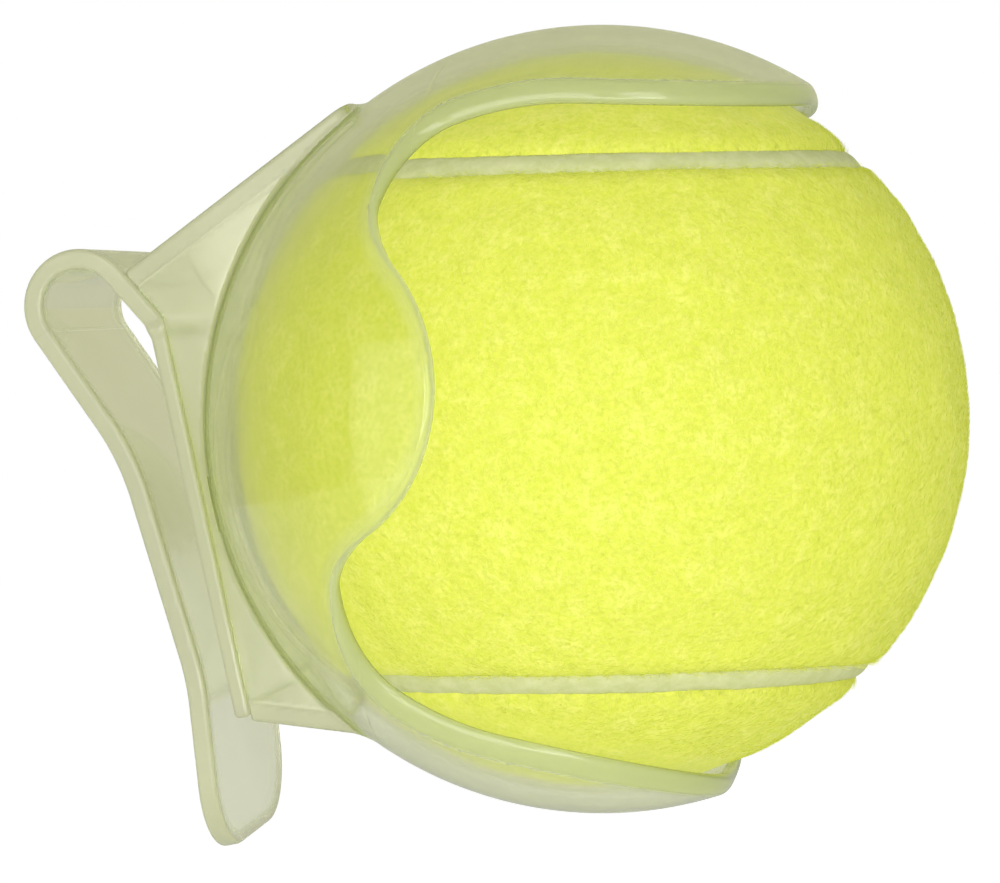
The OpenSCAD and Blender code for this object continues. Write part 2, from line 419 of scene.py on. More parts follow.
@dataclass(frozen=True)
class Fibre:
    """Single felt fibres, each with its own tone."""

    name: str
    dark: Colour
    pale: Colour
    roughness: float = 0.75
    roughness_spread: float = 0.15
    specular: float = 0.2

    def make(self) -> bpy.types.Material:
        """Builds the material."""
        material, tree = new_finish(self.name)
        tone = tree.attribute(TONE_NAME)
        shader = tree.principled(
            {
                "Base Color": tree.mix(tone, self.dark, self.pale),
                "Roughness": self.roughness + tone * self.roughness_spread,
                "Specular IOR Level": self.specular,
            }
        )
        tree.surface(shader)
        return material


@dataclass(frozen=True)
class MattRubber:
    """Matt rubber or dried cement with a grainy, mottled face."""

    name: str
    body: Colour
    mottle: Colour
    roughness: float = 0.8
    grain_roughness: float = 0.15
    specular: float = 0.2
    mottle_scale: float = 700.0
    mottle_levels: Range = (0.35, 0.7)
    mottle_share: float = 0.4
    grain_scale: float = 3000.0
    grain_levels: Range = (0.2, 0.8)
    grain_share: float = 0.6
    bump_share: float = 0.6
    grain_height: float = 0.0001

    def make(self) -> bpy.types.Material:
        """Builds the material."""
        material, tree = new_finish(self.name)
        where = tree.coordinates()
        mottle = tree.noise(where, self.mottle_scale, detail=4.0, roughness=0.6)
        grain = tree.noise(where, self.grain_scale, detail=3.0, roughness=0.6)
        height = grain * self.grain_share + mottle * self.mottle_share
        rough = tree.ramp(grain, *self.grain_levels) * self.grain_roughness
        shader = tree.principled(
            {
                "Base Color": tree.mix(tree.ramp(mottle, *self.mottle_levels), self.body, self.mottle),
                "Roughness": rough + self.roughness,
                "Specular IOR Level": self.specular,
                "Normal": tree.bump(height, self.bump_share, self.grain_height),
            }
        )
        tree.surface(shader)
        return material


PLASTIC = ClearPlastic(
    name="clear_plastic",
    tint=(0.965, 0.98, 0.865),
    cloud=(0.95, 0.965, 0.845),
    milk=(0.83, 0.82, 0.64),
    # Rim milk with painted yellow-green light from the felt
    rim_milk_with_felt_light=(0.80, 0.87, 0.41),
    absorption=(0.56, 0.60, 0.12),
    density=38.0,
)
YELLOW_FELT = Felt(
    name="yellow_felt",
    body=(0.77, 0.81, 0.11),
    tuft=(0.83, 0.85, 0.165),
    # Darker colour painted into the nap's hollows as shade
    pit_shade=(0.645, 0.74, 0.055),
    sheen=(0.95, 1.0, 0.55),
)
YELLOW_FIBRE = Fibre(name="yellow_fibre", dark=(0.715, 0.79, 0.08), pale=(0.85, 0.86, 0.20))
PALE_SEAM = MattRubber(name="pale_seam", body=(0.57, 0.61, 0.26), mottle=(0.65, 0.68, 0.34))
CORE_RUBBER = MattRubber(name="core_rubber", body=(0.045, 0.045, 0.048), mottle=(0.06, 0.06, 0.06))
CORE_CEMENT = MattRubber(name="core_cement", body=(0.25, 0.21, 0.15), mottle=(0.32, 0.27, 0.19))


# Implicit solids, in millimetres


def round_union(first: np.ndarray, second: np.ndarray, radius: float) -> np.ndarray:
    """Joins two fields with a fillet."""
    reach = np.hypot(np.maximum(radius - first, 0.0), np.maximum(radius - second, 0.0))
    return np.maximum(radius, np.minimum(first, second)) - reach


def round_meet(first: np.ndarray, second: np.ndarray, radius: float) -> np.ndarray:
    """Meets two fields in a rounded edge."""
    reach = np.hypot(np.maximum(radius + first, 0.0), np.maximum(radius + second, 0.0))
    return np.minimum(-radius, np.maximum(first, second)) + reach


def gradient(solid: Field, points: Points, reach: float = 0.02) -> np.ndarray:
    """The slope of a field.

    Args:
        solid: The field.
        points: Where to take it.
        reach: Half the distance between the two samples.

    Returns:
        One vector for each point.
    """
    slope = np.empty_like(points)
    for axis in range(3):
        step = np.zeros(3)
        step[axis] = reach
        slope[:, axis] = (solid(points + step) - solid(points - step)) / (2.0 * reach)
    return slope


def unit_slope(solid: Field, points: Points) -> np.ndarray:
    """The field's normals, one for each point."""
    slope = gradient(solid, points)
    return slope / np.maximum(np.linalg.norm(slope, axis=1), 1e-9)[:, None]


def flat_way(angle: float) -> np.ndarray:
    """The direction at an angle in a flat plane."""
    return np.array([math.cos(angle), math.sin(angle)])


def turned(angle: float, axis: str) -> np.ndarray:
    """The matrix of a turn about one axis."""
    return np.array(Matrix.Rotation(angle, 3, axis))


@dataclass
class GridMesher:
    """Turns a field into a closed mesh, one point in each grid cell that the surface crosses."""

    low: Sequence[float]
    high: Sequence[float]
    step: float
    polish: int = 3
    least_slope: float = 0.25
    most_move: float = 0.5

    def sample(self, solid: Field) -> np.ndarray:
        """The field's values on the grid, a layer at a time."""
        low = np.array(self.low, float)
        counts = np.ceil((np.array(self.high) - low) / self.step).astype(int) + 1
        axes = [low[axis] + self.step * np.arange(counts[axis]) for axis in range(3)]
        layer = np.stack(np.meshgrid(axes[1], axes[2], indexing="ij"), axis=-1).reshape(-1, 2)
        values = np.empty(counts)
        for place, x in enumerate(axes[0]):
            points = np.column_stack([np.full(len(layer), x), layer])
            values[place] = solid(points).reshape(counts[1], counts[2])
        return values

    def points(self, values: np.ndarray) -> tuple[Points, np.ndarray]:
        """One point for each crossed cell.

        Args:
            values: The field on the grid.

        Returns:
            The points, and each cell's point number or -1.
        """
        corners = [(i, j, k) for i in (0, 1) for j in (0, 1) for k in (0, 1)]
        counts = np.array(values.shape) - 1
        at_corner = {
            c: values[tuple(slice(c[axis], c[axis] + counts[axis]) for axis in range(3))]
            for c in corners
        }
        inside = sum((at_corner[c] < 0).astype(np.int8) for c in corners)
        crossed = (inside > 0) & (inside < len(corners))
        cells = np.argwhere(crossed)
        number = np.full(counts, -1)
        number[crossed] = np.arange(len(cells))
        total = np.zeros((len(cells), 3))
        hits = np.zeros(len(cells))
        for start in corners:
            for axis in range(3):
                if start[axis]:
                    continue
                end = tuple(1 if a == axis else start[a] for a in range(3))
                first = at_corner[start][crossed]
                second = at_corner[end][crossed]
                cut = (first < 0) != (second < 0)
                share = np.zeros(len(cells))
                share[cut] = first[cut] / (first[cut] - second[cut])
                place = np.tile(np.array(start, float), (len(cells), 1))
                place[:, axis] += share
                total += np.where(cut[:, None], place, 0.0)
                hits += cut
        found = np.array(self.low) + self.step * (cells + total / hits[:, None])
        return found, number

    def quads(self, values: np.ndarray, number: np.ndarray) -> np.ndarray:
        """The faces, one for each grid edge that the surface crosses.

        Args:
            values: The field on the grid.
            number: Each cell's point number.

        Returns:
            Four point numbers for each face, wound so that faces point outwards.
        """
        faces = []
        inside = values < 0
        for axis in range(3):
            others = [a for a in range(3) if a != axis]
            edge = [slice(1, -1)] * 3
            after = [slice(1, -1)] * 3
            edge[axis] = slice(0, -1)
            after[axis] = slice(1, None)
            leaving = inside[tuple(edge)] & ~inside[tuple(after)]
            entering = ~inside[tuple(edge)] & inside[tuple(after)]
            for crossing, outward in ((leaving, True), (entering, False)):
                places = np.argwhere(crossing)
                places[:, others[0]] += 1
                places[:, others[1]] += 1
                ring = []
                for back_first, back_second in ((1, 1), (0, 1), (0, 0), (1, 0)):
                    cell = places.copy()
                    cell[:, others[0]] -= back_first
                    cell[:, others[1]] -= back_second
                    ring.append(number[cell[:, 0], cell[:, 1], cell[:, 2]])
                if outward != (axis != 1):
                    ring.reverse()
                faces.append(np.column_stack(ring))
        return np.concatenate(faces)

    def mesh(self, solid: Field) -> tuple[Points, np.ndarray]:
        """The field's surface.

        Args:
            solid: The field, negative inside.

        Returns:
            Points that lie on the surface, and quads.
        """
        values = self.sample(solid)
        points, number = self.points(values)
        return self.polished(solid, points), self.quads(values, number)

    def polished(self, solid: Field, points: Points) -> Points:
        """Points that are moved on to the field's surface."""
        for _ in range(self.polish):
            slope = gradient(solid, points)
            size = np.maximum((slope * slope).sum(axis=1), self.least_slope)
            move = (solid(points) / size)[:, None] * slope
            most = self.most_move * self.step
            points = points - np.clip(move, -most, most)
        return points


@dataclass
class CupSizes:
    """Sizes of the cup, in millimetres, in its own frame: +X out of the mouth, +Z to the upper arm."""

    inside_r: float = 33.7
    wall: float = 1.7
    tilt: float = math.radians(18.0)
    rim_setback: float = 16.4
    petal_setback: float = 8.5
    petal_r: float = 14.0
    petal_rise: float = 1.5
    notch_r: float = 3.0
    upper_half_w: float = 20.6
    lower_half_w: float = 22.3
    upper_reach: float = 16.5
    lower_reach: float = 15.6
    arm_corner_r: float = 18.0
    arm_root_r: float = 5.0
    arm_low: float = 16.0
    flex_setback: float = 11.0
    flex_zone: float = 7.6

    @property
    def outside_r(self) -> float:
        """The cup's outer radius."""
        return self.inside_r + self.wall

    @property
    def middle_r(self) -> float:
        """The radius half way through the wall."""
        return self.inside_r + self.wall / 2.0


@dataclass
class BracketSizes:
    """Sizes of the hollow bracket and the belt plate, in millimetres."""

    half_w: float = 11.0
    wall: float = 1.5
    plate_t: float = 1.5
    plate_drop: float = 19.2
    roof_slope: float = math.radians(23.5)
    roof_len: float = 25.6
    roof_drop: float = 0.6
    roof_corner_r: float = 2.0
    floor_slope: float = math.radians(17.5)
    edge_r: float = 0.45
    fillet: float = 0.7
    weld_gap: float = 0.03


@dataclass
class StripSizes:
    """Sizes of the clip's strip, in millimetres: leg, hoop and tongue."""

    thick: float = 1.8
    hoop_r: float = 3.4
    hoop_back: float = 6.0
    hoop_up: float = 19.9
    leg_lean: float = math.radians(30.0)
    tongue_lean: float = math.radians(23.5)
    upper: float = 9.6
    middle: float = 15.0
    end: float = 16.0
    bend_r: float = 24.0
    bend: float = math.radians(18.8)
    flare: float = math.radians(11.0)
    tip_drop: float = 31.2
    tip_corner_r: float = 6.5
    edge_r: float = 0.45
    flex_zone: float = 5.0

    @property
    def middle_r(self) -> float:
        """The hoop's radius half way through the strip."""
        return self.hoop_r + self.thick / 2.0

    @property
    def hoop_middle(self) -> np.ndarray:
        """The hoop's middle, in X and Z."""
        return np.array([-self.hoop_back, self.hoop_up])

    @property
    def leg_side(self) -> np.ndarray:
        """The direction through the leg, towards the front."""
        return flat_way(self.leg_lean)

    @property
    def leg_down(self) -> np.ndarray:
        """The direction down the leg."""
        return np.array([math.sin(self.leg_lean), -math.cos(self.leg_lean)])

    @property
    def tongue_start(self) -> np.ndarray:
        """The middle of the strip where the hoop turns into the tongue."""
        return self.hoop_middle + self.middle_r * flat_way(math.pi + self.tongue_lean)

    @property
    def tongue_down(self) -> np.ndarray:
        """The direction down the tongue where it leaves the hoop."""
        return np.array([math.sin(self.tongue_lean), -math.cos(self.tongue_lean)])

    def centreline(self, plate_middle: float, step: float = 0.15) -> np.ndarray:
        """The strip's middle line from the plate over the hoop to the tongue's end.

        Args:
            plate_middle: X of the plate's middle.
            step: Distance between points on the round stretches.

        Returns:
            Points in X and Z.
        """
        leg_top = self.hoop_middle + self.middle_r * self.leg_side
        run = (plate_middle - leg_top[0]) / self.leg_down[0]
        line = [leg_top + run * self.leg_down]
        sweep = math.pi + self.tongue_lean - self.leg_lean
        count = max(2, round(sweep * self.middle_r / step))
        for turn in np.linspace(self.leg_lean, math.pi + self.tongue_lean, count):
            line.append(self.hoop_middle + self.middle_r * flat_way(turn))
        heading = -math.pi / 2.0 + self.tongue_lean
        bend_middle_r = self.bend_r - self.thick / 2.0
        for length, turn in ((self.upper, self.bend), (self.middle, self.flare), (self.end, 0.0)):
            line.append(line[-1] + length * flat_way(heading))
            pieces = max(1, round(turn * bend_middle_r / step))
            for _ in range(pieces if turn else 0):
                part = turn / pieces
                heading -= part / 2.0
                chord = 2.0 * bend_middle_r * math.sin(part / 2.0)
                line.append(line[-1] + chord * flat_way(heading))
                heading -= part / 2.0
        return np.array(line)


def line_distance(places: np.ndarray, line: np.ndarray) -> np.ndarray:
    """The distance from flat places to a line of straight pieces.

    Args:
        places: Places in two coordinates.
        line: The line's points.

    Returns:
        One distance for each place.
    """
    nearest = np.full(len(places), np.inf)
    for start, end in zip(line[:-1], line[1:]):
        along = end - start
        share = np.clip((places - start) @ along / (along @ along), 0.0, 1.0)
        away = places - start - share[:, None] * along
        nearest = np.minimum(nearest, (away * away).sum(axis=1))
    return np.sqrt(nearest)


# Mesh helpers


def as_object(name: str, mesh: bpy.types.Mesh) -> bpy.types.Object:
    """Puts a mesh in the scene at the origin."""
    made = bpy.data.objects.new(name, mesh)
    bpy.context.scene.collection.objects.link(made)
    return made


def add_grid(
    shape: bmesh.types.BMesh, points: Points, closed: tuple[bool, bool]
) -> list[bmesh.types.BMVert]:
    """Adds a grid of points and the faces between them.

    Args:
        shape: The shape that gets them.
        points: The points in metres, as rows by columns.
        closed: Whether the rows and the columns close on themselves.

    Returns:
        The new vertices, row by row.
    """
    rows, columns = points.shape[:2]
    verts = [shape.verts.new(point) for point in points.reshape(-1, 3)]
    for row in range(rows if closed[0] else rows - 1):
        here = row * columns
        after = (row + 1) % rows * columns
        for column in range(columns if closed[1] else columns - 1):
            beside = (column + 1) % columns
            ring = (here + column, here + beside, after + beside, after + column)
            shape.faces.new([verts[place] for place in ring])
    return verts


def smooth_piece(
    name: str, shape: bmesh.types.BMesh, material: bpy.types.Material
) -> bpy.types.Object:
    """A closed shape as a smooth piece whose faces point outwards.

    Args:
        name: The piece's name.
        shape: The shape, which is freed.
        material: Its finish.

    Returns:
        The piece.
    """
    bmesh.ops.recalc_face_normals(shape, faces=shape.faces[:])
    for face in shape.faces:
        face.smooth = True
    mesh = bpy.data.meshes.new(name)
    shape.to_mesh(mesh)
    shape.free()
    mesh.materials.append(material)
    return as_object(name, mesh)


def finish_piece(
    piece: bpy.types.Object,
    replaced: Iterable[str] = (),
    body: Body | None = None,
) -> None:
    """Hides the CAD nodes that a piece stands for and hangs it on the body that it rides on.

    Args:
        piece: The piece.
        replaced: CAD nodes that it stands for.
        body: Its body, unless it bends between two.
    """
    if replaced:
        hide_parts(*replaced)
    if body is not None:
        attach(piece, body.value)
    LOG.info("%s: %d faces", piece.name, len(piece.data.polygons))


@dataclass
class Moulding:
    """One moulding as a mesh that can be cut into pieces which meet without a line."""

    solid: Field
    edge: Field
    mesher: GridMesher
    fine_turn: float = math.radians(16.0)
    cap_gap: float = 0.01
    weld: float = 1e-5
    shape: bmesh.types.BMesh = field(init=False)

    def __post_init__(self) -> None:
        """Meshes the solid, finer where it is rounded tightly."""
        points, faces = self.mesher.mesh(self.solid)
        mesh = bpy.data.meshes.new("moulding")
        mesh.from_pydata(points.tolist(), [], faces.tolist())
        self.shape = bmesh.new()
        self.shape.from_mesh(mesh)
        bpy.data.meshes.remove(mesh)
        self.refine(points)
        self.shape.faces.layers.float.new(CAP_NAME)
        self.group = self.shape.faces.layers.int.new("group")

    def refine(self, points: Points) -> None:
        """Halves the edges of faces over which the surface turns, and rounds them again.

        Args:
            points: The mesh's points.
        """
        slope = unit_slope(self.solid, points)
        least = math.cos(self.fine_turn)
        edges = set()
        for face in self.shape.faces:
            ways = slope[[v.index for v in face.verts]]
            if min(ways[0] @ ways[2], ways[1] @ ways[3]) < least:
                edges.update(face.edges)
        bmesh.ops.subdivide_edges(self.shape, edges=list(edges), cuts=1, use_grid_fill=True)
        moved = np.array([v.co for v in self.shape.verts])
        for vert, place in zip(self.shape.verts, self.mesher.polished(self.solid, moved)):
            vert.co = place

    def cut(self, place: Vector, normal: Vector, near: Callable[[Vector], bool], group: int) -> None:
        """Cuts the mesh on a plane and numbers what lies beyond it.

        Args:
            place: A point on the plane.
            normal: The plane's normal, towards the new group.
            near: True for faces that may be cut or belong to the new group.
            group: The new group's number.
        """
        chosen = [f for f in self.shape.faces if near(f.calc_center_median())]
        edges = {e for f in chosen for e in f.edges}
        verts = {v for f in chosen for v in f.verts}
        bmesh.ops.bisect_plane(
            self.shape,
            geom=[*verts, *edges, *chosen],
            dist=self.weld,
            plane_co=place,
            plane_no=normal,
        )
        for face in self.shape.faces:
            middle = face.calc_center_median()
            if near(middle) and (middle - place).dot(normal) > 0.0:
                face[self.group] = group

    def piece(self, name: str, group: int, material: bpy.types.Material) -> bpy.types.Object:
        """One group of faces as a closed piece.

        Args:
            name: The piece's name.
            group: The group's number.
            material: Its finish.

        Returns:
            The piece, in metres.
        """
        part = self.shape.copy()
        layer = part.faces.layers.int["group"]
        cap = part.faces.layers.float[CAP_NAME]
        others = [f for f in part.faces if f[layer] != group]
        bmesh.ops.delete(part, geom=others, context="FACES")
        rim = [e for e in part.edges if e.is_boundary]
        if rim:
            filled = bmesh.ops.holes_fill(part, edges=rim, sides=0)["faces"]
            for face in filled:
                face[cap] = 1.0
            filled = bmesh.ops.triangulate(part, faces=filled)["faces"]
            bmesh.ops.recalc_face_normals(part, faces=part.faces)
            ways = {vert: face.normal.copy() for face in filled for vert in face.verts}
            for vert, way in ways.items():
                vert.co -= way * self.cap_gap
        part.faces.layers.int.remove(layer)
        mesh = bpy.data.meshes.new(name)
        part.to_mesh(mesh)
        part.free()
        points = np.empty(len(mesh.vertices) * 3)
        mesh.vertices.foreach_get("co", points)
        points = points.reshape(-1, 3)
        self.set_normals(mesh, points)
        edge = mesh.attributes.new(EDGE_NAME, "FLOAT", "POINT")
        edge.data.foreach_set("value", self.edge(points))
        mesh.transform(Matrix.Scale(MM, 4))
        mesh.materials.append(material)
        return as_object(name, mesh)

    def set_normals(self, mesh: bpy.types.Mesh, points: Points) -> None:
        """Gives the mesh the field's own normals, so that pieces meet without a crease."""
        corners = np.empty(len(mesh.loops), int)
        mesh.loops.foreach_get("vertex_index", corners)
        normals = unit_slope(self.solid, points)[corners]
        for face in mesh.polygons:
            face.use_smooth = True
        caps = np.zeros(len(mesh.polygons))
        mesh.attributes[CAP_NAME].data.foreach_get("value", caps)
        for index in np.flatnonzero(caps):
            face = mesh.polygons[index]
            for corner in face.loop_indices:
                normals[corner] = face.normal
        mesh.normals_split_custom_set(normals.tolist())


# Sub-assemblies


@dataclass
class Holder:
    """The clear holder: a cup with two snap arms, a hollow bracket and the belt clip."""

    ball_middle: np.ndarray
    cup: CupSizes = field(default_factory=CupSizes)
    bracket: BracketSizes = field(default_factory=BracketSizes)
    strip: StripSizes = field(default_factory=StripSizes)
    cup_step: float = 0.47
    clip_step: float = 0.32
    inset_reach: float = 0.05
    least_slope: float = 0.4
    # Haze along edges: its strength, how far in it starts and over what width it grows, in
    # millimetres, and in half walls along the rim
    cheek_haze: float = 0.55
    rim_haze: float = 0.5
    rim_from: float = 2.2
    rim_over: float = 1.7
    rim_skin: float = 1.2
    wall_from: float = 0.8
    wall_over: float = 0.7
    wall_off_cup: float = 0.3
    lip_over: float = 0.6
    clip_from: float = 1.5
    clip_over: float = 1.2

    def __post_init__(self) -> None:
        """Works out the directions that the fields need."""
        tilt = self.cup.tilt
        self.cup_turn = np.array(
            [
                [math.cos(tilt), 0.0, -math.sin(tilt)],
                [0.0, 1.0, 0.0],
                [math.sin(tilt), 0.0, math.cos(tilt)],
            ]
        )
        self.line = self.strip.centreline(self.bracket.plate_t / 2.0)
        outer = self.strip.hoop_r + self.strip.thick
        self.leg_top = self.strip.hoop_middle + outer * self.strip.leg_side
        self.roof_start = self.leg_top + self.bracket.roof_drop * self.strip.leg_down

    def mouth(self, places: Points) -> np.ndarray:
        """The cup's outline in its own frame, negative where there is plastic.

        Args:
            places: Points in the cup's frame.

        Returns:
            A flat distance for each point.
        """
        cup = self.cup
        x, y, z = places.T
        rim = x + cup.rim_setback
        petal = np.hypot(x + cup.petal_setback + cup.petal_r, z - cup.petal_rise) - cup.petal_r
        corner = cup.arm_corner_r
        half_w = np.where(z > 0.0, cup.upper_half_w, cup.lower_half_w)
        reach = np.where(z > 0.0, cup.upper_reach, cup.lower_reach)
        ahead = np.maximum(x - reach + corner, 0.0)
        aside = np.maximum(np.abs(y) - half_w + corner, 0.0)
        arms = np.hypot(ahead, aside) - corner
        bowl = round_union(rim, petal, cup.notch_r)
        return round_union(bowl, arms, cup.arm_root_r)

    def inset(self, places: Points) -> np.ndarray:
        """The distance to the cup's outline along the wall, negative where there is plastic."""
        out = places / np.maximum(np.linalg.norm(places, axis=1), 1e-6)[:, None]
        flat = self.mouth(places)
        slope = np.empty_like(places)
        for axis in range(3):
            step = np.zeros(3)
            step[axis] = self.inset_reach
            slope[:, axis] = (self.mouth(places + step) - flat) / self.inset_reach
        slope -= (slope * out).sum(axis=1)[:, None] * out
        return flat / np.maximum(np.linalg.norm(slope, axis=1), self.least_slope)

    def in_cup(self, points: Points) -> Points:
        """Points of the part's frame, in the cup's frame."""
        return (points - self.ball_middle) @ self.cup_turn.T

    def shell(self, points: Points) -> np.ndarray:
        """The cup and its arms, with round rims."""
        places = self.in_cup(points)
        half = self.cup.wall / 2.0
        beyond = np.maximum(self.inset(places) + half, 0.0)
        off = np.linalg.norm(places, axis=1) - self.cup.middle_r
        return np.hypot(beyond, off) - half

    def by_bracket(self, points: Points) -> tuple[np.ndarray, np.ndarray, np.ndarray]:
        """Where points lie by the bracket's roof and floor.

        Args:
            points: Points in the part's frame.

        Returns:
            The distance along the roof, the height above it and the depth below the floor.
        """
        bracket = self.bracket
        x, _, z = points.T
        rise = flat_way(bracket.roof_slope)
        flat = np.column_stack([x, z]) - self.roof_start
        under = np.array([math.sin(bracket.floor_slope), math.cos(bracket.floor_slope)])
        below = -(np.column_stack([x, z + bracket.plate_drop]) @ under)
        return flat @ rise, flat @ np.array([-rise[1], rise[0]]), below

    def walls(self, points: Points) -> np.ndarray:
        """The bracket's roof, floor and cheeks, open towards the plate."""
        bracket = self.bracket
        x, y, z = points.T
        along, above, below = self.by_bracket(points)
        side = np.abs(y) - bracket.half_w
        corner = bracket.roof_corner_r
        end = round_meet(along - bracket.roof_len, side, corner)
        rear = bracket.plate_t + bracket.weld_gap - x
        leg = bracket.weld_gap - (np.column_stack([x, z]) - self.leg_top) @ self.strip.leg_side
        outer = round_meet(round_meet(above, below, bracket.edge_r), end, bracket.edge_r)
        outer = np.maximum(outer, np.minimum(rear, leg))
        outer = np.maximum(outer, x - self.ball_middle[0])
        hollow = round_meet(above + bracket.wall, below + bracket.wall, bracket.edge_r)
        hollow = round_meet(hollow, side + bracket.wall, bracket.edge_r)
        return np.maximum(outer, -hollow)

    def cup_moulding(self, points: Points) -> np.ndarray:
        """The cup, its arms and the bracket as one solid."""
        radius = np.linalg.norm(points - self.ball_middle, axis=1)
        walls = np.maximum(self.walls(points), self.cup.middle_r - radius)
        return round_union(self.shell(points), walls, self.bracket.fillet)

    def cup_edge(self, points: Points) -> np.ndarray:
        """How much a point of the cup lies on an edge: 1 on the ends of walls, less on rims."""
        bracket = self.bracket
        half = self.cup.wall / 2.0
        places = self.in_cup(points)
        size = np.linalg.norm(places, axis=1)
        near_rim = (self.inset(places) + half * self.rim_from) / (half * self.rim_over)
        rim = self.rim_haze * np.clip(near_rim, 0.0, 1.0)
        rim = np.where(np.abs(size - self.cup.middle_r) < half * self.rim_skin, rim, 0.0)
        along, above, below = self.by_bracket(points)
        beside = np.abs(points[:, 1]) - bracket.half_w
        side = np.clip((beside + self.wall_from) / self.wall_over, 0.0, 1.0)
        lip = np.maximum(above, below) + bracket.wall
        ends = np.clip(lip / self.lip_over + 1.0, 0.0, 1.0)
        front = np.clip((along - bracket.roof_len + self.wall_from) / self.wall_over, 0.0, 1.0)
        wall = np.maximum(side * (self.cheek_haze + (1.0 - self.cheek_haze) * ends), front)
        outside = size > self.cup.outside_r + self.wall_off_cup
        return np.maximum(rim, np.where(outside, wall, 0.0))

    def clip_outline(self, points: Points) -> tuple[np.ndarray, np.ndarray]:
        """The distance past the clip's sides, and past its outline with the tongue's round tip."""
        strip = self.strip
        side = np.abs(points[:, 1]) - self.bracket.half_w
        return side, round_meet(side, -strip.tip_drop - points[:, 2], strip.tip_corner_r)

    def clip_edge(self, points: Points) -> np.ndarray:
        """How much a point of the clip lies on an edge of the plate or the strip."""
        x, _, z = points.T
        side, outline = self.clip_outline(points)
        low = np.where(x > -self.strip.thick, -self.bracket.plate_drop - z, outline)
        past = np.maximum(outline, np.maximum(side, low))
        return np.clip((past + self.clip_from) / self.clip_over, 0.0, 1.0)

    def clip_moulding(self, points: Points) -> np.ndarray:
        """The belt plate, the hoop and the tongue as one solid."""
        bracket, strip = self.bracket, self.strip
        x, _, z = points.T
        side, outline = self.clip_outline(points)
        band = line_distance(np.column_stack([x, z]), self.line) - strip.thick / 2.0
        strap = round_meet(band, outline, strip.edge_r)
        faces = np.abs(x - bracket.plate_t / 2.0) - bracket.plate_t / 2.0
        top = z - self.line[0][1]
        rim = round_meet(side, np.maximum(-bracket.plate_drop - z, top), bracket.edge_r)
        plate = round_meet(faces, rim, bracket.edge_r)
        radius = np.linalg.norm(points - self.ball_middle, axis=1)
        dished = np.maximum(plate, self.cup.outside_r + bracket.weld_gap - radius)
        return round_union(dished, strap, bracket.fillet)

    def in_part(self, x: float, y: float, z: float) -> Vector:
        """A place in the cup's frame, in the part's frame."""
        return Vector(self.ball_middle + np.array([x, y, z]) @ self.cup_turn)

    def build_cup(self, material: bpy.types.Material) -> None:
        """Makes the cup with its bracket, and the two snap arms that bend away from it."""
        cup = self.cup
        margin = 2.0
        reach = cup.outside_r + margin
        low = [-margin, -reach, -reach]
        high = self.ball_middle + [reach, reach, reach]
        mesher = GridMesher(low, high, self.cup_step)
        moulding = Moulding(self.cup_moulding, self.cup_edge, mesher)
        arms = ((Body.UPPER_ARM, 1.0), (Body.LOWER_ARM, -1.0))
        normal = self.in_part(1.0, 0.0, 0.0) - self.in_part(0.0, 0.0, 0.0)
        # The bending zone lies half on each side of the line that the arms flex on
        root = -cup.flex_setback - cup.flex_zone / 2.0
        place = self.in_part(root, 0.0, 0.0)
        for group, (_, way) in enumerate(arms, start=1):

            def near(middle: Vector, way: float = way) -> bool:
                """True on this arm, ahead of the rim."""
                at = self.cup_turn @ (np.array(middle) - self.ball_middle)
                return way * at[2] > cup.arm_low and at[0] > -cup.rim_setback

            moulding.cut(place, normal, near, group)
        bowl = moulding.piece("cup_and_bracket", 0, material)
        nodes = ("cup_bowl", "bracket_roof", "bracket_floor", "bracket_cheek_left", "bracket_cheek_right")
        finish_piece(bowl, nodes, Body.HOLDER)
        for group, (body, way) in enumerate(arms, start=1):
            arm = moulding.piece("snap_" + body.value, group, material)
            height = way * math.sqrt(cup.outside_r**2 - cup.flex_setback**2)
            start = self.in_part(root, 0.0, height)
            end = self.in_part(root + cup.flex_zone, 0.0, height)
            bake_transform(arm, Body.HOLDER.value, body.value, start * MM, end * MM)
            finish_piece(arm, (body.value,))

    def build_clip(self, material: bpy.types.Material) -> None:
        """Makes the belt plate with its hoop, and the tongue that bends away from it."""
        strip, bracket = self.strip, self.bracket
        margin = 1.5
        rear = -strip.hoop_back - strip.hoop_r - strip.thick - margin
        top = strip.hoop_up + strip.hoop_r + strip.thick + margin
        low = [rear, -bracket.half_w - margin, -strip.tip_drop - margin]
        high = [bracket.plate_t + margin, bracket.half_w + margin, top]
        mesher = GridMesher(low, high, self.clip_step)
        moulding = Moulding(self.clip_moulding, self.clip_edge, mesher)
        start = Vector((strip.tongue_start[0], 0.0, strip.tongue_start[1]))
        down = Vector((strip.tongue_down[0], 0.0, strip.tongue_down[1]))
        front = -strip.thick

        def near(middle: Vector) -> bool:
            """True on the tongue and on the rear half of the hoop."""
            rear_half = middle.x < -strip.hoop_back
            return rear_half or (middle.x < front and middle.z < strip.hoop_up - strip.hoop_r * 2.0)

        moulding.cut(start, down, near, 1)
        plate = moulding.piece("plate_and_hoop", 0, material)
        finish_piece(plate, ("back_plate", "clip_hoop"), Body.HOLDER)
        tongue = moulding.piece("belt_tongue", 1, material)
        end = start + strip.flex_zone * down
        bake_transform(tongue, Body.HOLDER.value, Body.TONGUE.value, start * MM, end * MM)
        finish_piece(tongue, ("clip_tongue",))


